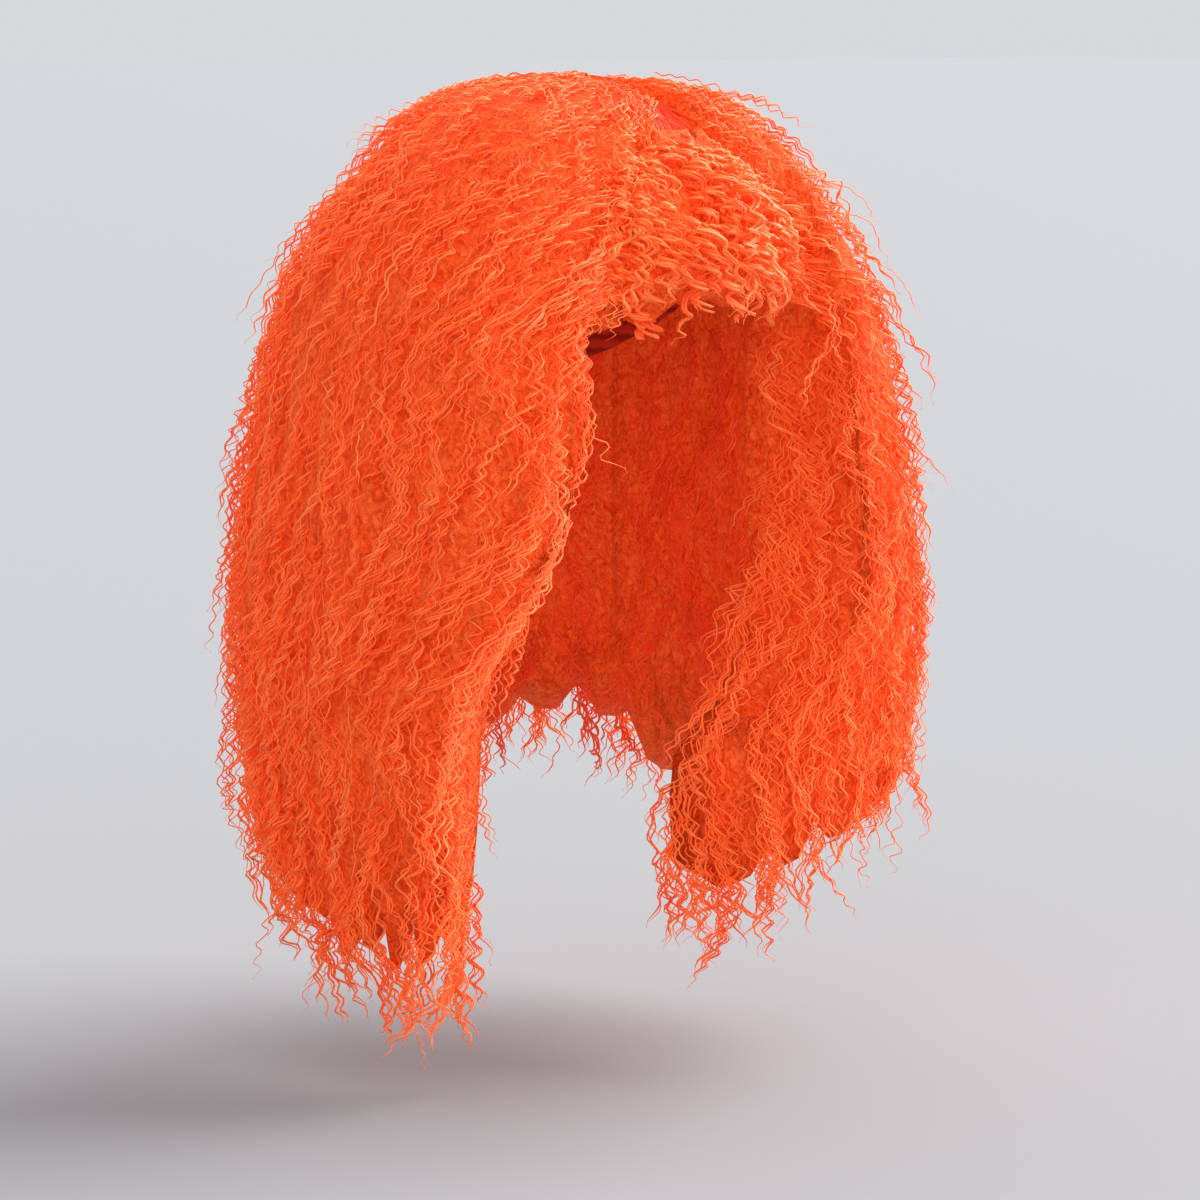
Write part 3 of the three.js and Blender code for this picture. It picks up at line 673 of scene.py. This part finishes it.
# the parting: fine strands brushed nearly straight
partingLook = dict(
    outerLook, strands=9, pitch=16 * mm, breadth=7 * mm, calm=0.15, calmTo=200 * mm, sway=1.2 * mm,
    bob=0.5 * mm, thick=0.9 * mm, wander=1 * mm, lift=-0.5 * mm, sunk=-1 * mm, endLift=0.0,
    lag=0.4, lean=0.05,
)
growPieces({
    "pieces": {"parting_fibres": ("parting", "parting", 0.0, 1.0)},
    "material": brushedMaterial, "slot": "parting_fibre",
    "layers": [(partingLook, 4.2 * mm, [(0.006, 0.06), (0.03, 0.06), (0.05, 0.06)], 0.0, 1.0)],
})
print("curls grown", sum(trianglesGrown))


# packed hair below the outer curls: the CAD body drawn in a little, shorter at its tips.
# Depth in mm, height in metres below which tips are drawn up, and the share of them kept.
packedPieces = [
    {"node": "side_right", "name": "right_side_packed_hair", "slot": "curly_fibre",
     "material": packedFibreWithPaintedShade, "depth": 5, "tipsBelow": -0.38, "kept": 0.55},
    {"node": "side_left", "name": "left_side_packed_hair", "slot": "curly_fibre",
     "material": packedFibreWithPaintedShade, "depth": 5, "tipsBelow": -0.36, "kept": 0.45},
    {"node": "back", "name": "back_packed_hair", "slot": "curly_fibre",
     "material": packedFibreWithPaintedShade, "depth": 5, "tipsBelow": -0.32, "kept": 0.4},
    {"node": "fringe", "name": "fringe_packed_hair", "slot": "curly_fibre",
     "material": packedFibreWithPaintedShade, "depth": 3.5, "tipsBelow": -0.085, "kept": 0.75},
    {"node": "parting", "name": "parting_base", "slot": "parting_fibre",
     "material": brushedMaterial, "depth": 1, "tipsBelow": -0.3, "kept": 1.0},
]
# what they have in common: lengths in metres, turns in degrees
packing = {
    "weld": 0.05 * mm, "innerDepth": 0.5 * mm, "thinShare": 0.3, "thickest": 30 * mm, "skin": 0.3 * mm,
    "radialAbove": -0.1, "seamWidth": 1.5, "seamShift": 2,
}


def drawnIn(look):
    node, depth, tipsBelow = look["node"], look["depth"] * mm, look["tipsBelow"]
    mesh = cadNodes[node].data.copy()
    mesh.name = look["name"]
    piece = bpy.data.objects.new(look["name"], mesh)
    bpy.context.scene.collection.objects.link(piece)
    bpy.context.view_layer.objects.active = piece
    weld = piece.modifiers.new("weld", "WELD")
    weld.merge_threshold = packing["weld"]
    bpy.ops.object.modifier_apply(modifier="weld")
    normals = np.array([v.normal for v in mesh.vertices])
    for v, normal in zip(mesh.vertices, normals):
        inward = Vector(-normal)
        radial = Vector((v.co.x, v.co.y, max(0.0, v.co.z - dome["centreZ"]))).normalized()
        facing = radial.dot(Vector(normal))
        turn = math.degrees(math.atan2(abs(v.co.x), -v.co.y))
        # at the seams a body only moves in and a little past its neighbour, so that no light shows
        atSeam = abs(turn - seamTurn) < packing["seamWidth"] and node != "fringe"
        if atSeam or v.co.z > packing["radialAbove"]:
            inward = radial * -facing
        if atSeam:
            shift = packing["seamShift"] * (-1 if node == "back" else 1) * math.copysign(1, v.co.x)
            v.co = Matrix.Rotation(math.radians(shift), 3, "Z") @ v.co
        room = trees[node].ray_cast(v.co + inward * packing["skin"], inward)[3]
        room = packing["thickest"] if room is None else room
        wanted = depth if facing > 0 else packing["innerDepth"]
        v.co = v.co + inward * min(wanted, room * packing["thinShare"])
        v.co.z = max(v.co.z, tipsBelow + (v.co.z - tipsBelow) * look["kept"])
    mesh.materials.clear()
    mesh.materials.append(look["material"])
    for polygon in mesh.polygons:
        polygon.use_smooth = True
    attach(piece, "root")
    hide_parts(node)


for look in packedPieces:
    drawnIn(look)
print("packed hair made")


# plain pale floor that runs out to the pale surroundings

floorLook = {"size": 60, "below": 26 * mm, "colour": "8D8E91", "roughness": 0.9}
bpy.ops.mesh.primitive_plane_add(size=floorLook["size"],
                                 location=(0, 0, cadBox[0][2] - floorLook["below"]))
floor = bpy.context.object
floor.name = "plain_floor"
paper, paperTree, paperShader = newMaterial("pale matt paper", {
    "Roughness": floorLook["roughness"], "Base Color": linearColour(floorLook["colour"]),
})
floor.data.materials.append(paper)

# soft light: spread in degrees, azimuth in degrees from the face to the wearer's left
softLights = [
    {"name": "key", "strength": 6.2, "spread": 60, "azimuth": 74, "elevation": 36,
     "tone": (1.0, 0.99, 0.97)},
    {"name": "fill", "strength": 0.85, "spread": 80, "azimuth": -40, "elevation": 25,
     "tone": (0.98, 0.99, 1.0)},
    {"name": "back light", "strength": 0.8, "spread": 60, "azimuth": 150, "elevation": 50,
     "tone": (1.0, 1.0, 1.0)},
]
for look in softLights:
    lamp = bpy.data.lights.new(look["name"], "SUN")
    lamp.energy = look["strength"]
    lamp.angle = math.radians(look["spread"])
    lamp.color = look["tone"]
    item = bpy.data.objects.new(look["name"], lamp)
    a, e = math.radians(look["azimuth"]), math.radians(look["elevation"])
    toward = Vector((math.sin(a) * math.cos(e), -math.cos(a) * math.cos(e), math.sin(e)))
    item.location = toward * 4  # a sun lights alike from any distance
    item.rotation_euler = toward.to_track_quat("Z", "Y").to_euler()
    bpy.context.scene.collection.objects.link(item)

worldLook = {"colour": "DCDDE0", "strength": 0.95}
world = bpy.data.worlds.new("pale studio")
world.use_nodes = True
backdrop = world.node_tree.nodes["Background"]
backdrop.inputs["Color"].default_value = linearColour(worldLook["colour"])
backdrop.inputs["Strength"].default_value = worldLook["strength"]
scene = bpy.context.scene
scene.world = world
scene.view_settings.view_transform = "Standard"

# the photograph's angle: aim, direction back from it, and distance in metres
cameraLook = {
    "aim": (-16.2 * mm, -33.0 * mm, -253.5 * mm), "away": (-0.6365, -0.7586, 0.1392),
    "distance": 2.2, "lens": 127.4, "sensor": 36,
}
aim = Vector(cameraLook["aim"])
camera = bpy.data.cameras.new("camera")
camera.lens = cameraLook["lens"]
camera.sensor_width = cameraLook["sensor"]
holder = bpy.data.objects.new("camera", camera)
holder.location = aim + cameraLook["distance"] * Vector(cameraLook["away"])
holder.rotation_euler = (aim - holder.location).to_track_quat("-Z", "Y").to_euler()
scene.collection.objects.link(holder)
scene.camera = holder
print("stage set")
